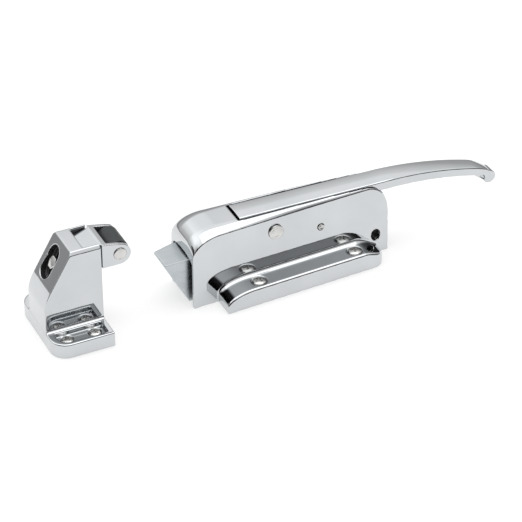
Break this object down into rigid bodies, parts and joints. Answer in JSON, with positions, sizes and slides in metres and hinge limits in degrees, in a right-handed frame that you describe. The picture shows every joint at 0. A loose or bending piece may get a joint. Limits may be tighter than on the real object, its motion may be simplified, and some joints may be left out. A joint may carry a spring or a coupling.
{
  "type": "cold-room door latch with roller strike",
  "caption": "Chrome walk-in cooler door latch: a long pull lever draws a sprung wedge bolt back; a separate adjustable roller strike catches the bolt.",
  "frame": {"origin": "middle of the latch's mounting face, which lies on the door's face", "axes": "+Z away from the door's face, +X along the latch from its bolt towards the end of its lever, +Y across it towards the side away from the camera in the picture"},
  "size_m": [0.3784, 0.0756, 0.075],
  "materials": {
    "chrome_plated_zinc": "polished chrome plating on a zinc die casting",
    "plain_zinc": "bluish zinc-plated, slightly matt",
    "bright_steel": "bright plated steel",
    "spring_steel": "plain spring wire",
    "black_nylon": "moulded black nylon, satin",
    "white_nylon": "natural nylon"
  },
  "bodies": {
    "latch_body": {"latch_housing": "chrome_plated_zinc", "lever_pivot_pin": "bright_steel", "pivot_pin_ring": "bright_steel", "lever_stop_pin": "bright_steel", "lever_stop_sleeve": "white_nylon", "base_plate": "bright_steel", "base_plate_screw_1": "bright_steel", "base_plate_screw_2": "bright_steel", "base_plate_screw_3": "bright_steel", "base_plate_screw_4": "bright_steel", "latch_mounting_screw_1": "bright_steel", "latch_mounting_screw_2": "bright_steel", "latch_mounting_screw_3": "bright_steel", "latch_mounting_screw_4": "bright_steel", "bolt_spring": "spring_steel", "spring_washer": "bright_steel"},
    "lever": {"lever_handle": "chrome_plated_zinc"},
    "bolt": {"latch_bolt": "plain_zinc", "spring_guide_rod": "bright_steel"},
    "strike_body": {"strike_housing": "chrome_plated_zinc", "strike_mounting_screw_1": "bright_steel", "strike_mounting_screw_2": "bright_steel", "strike_mounting_screw_3": "bright_steel", "strike_mounting_screw_4": "bright_steel"},
    "bracket": {"roller_bracket": "chrome_plated_zinc", "adjusting_screw": "bright_steel", "roller_pin": "bright_steel"},
    "roller": {"strike_roller": "black_nylon"}
  },
  "joints": [
    {"name": "lever_pull", "type": "hinge", "parent": "latch_body", "child": "lever", "pos_m": [-0.014, 0, 0.0462], "axis": [0, -1, 0], "range_deg": [0, 30]},
    {"name": "bolt_slide", "type": "slide", "parent": "latch_body", "child": "bolt", "axis": [1, 0, 0], "range_m": [0, 0.0165], "stiffness_N_per_m": 600, "springref_m": -0.02, "deforming": ["bolt_spring"]},
    {"name": "strike_position", "type": "slide", "parent": "latch_body", "child": "strike_body", "axis": [1, 0, 0], "range_m": [0, 0.04]},
    {"name": "bracket_adjust", "type": "slide", "parent": "strike_body", "child": "bracket", "axis": [0.5057, 0, 0.8627], "range_m": [0, 0.0075]},
    {"name": "roller_spin", "type": "hinge", "parent": "bracket", "child": "roller", "pos_m": [-0.1372, 0, 0.0625], "axis": [0, 1, 0], "continuous": true}
  ],
  "couplings": [
    {"joint": "bolt_slide", "follows": "lever_pull", "m_per_rad": 0.0305}
  ]
}
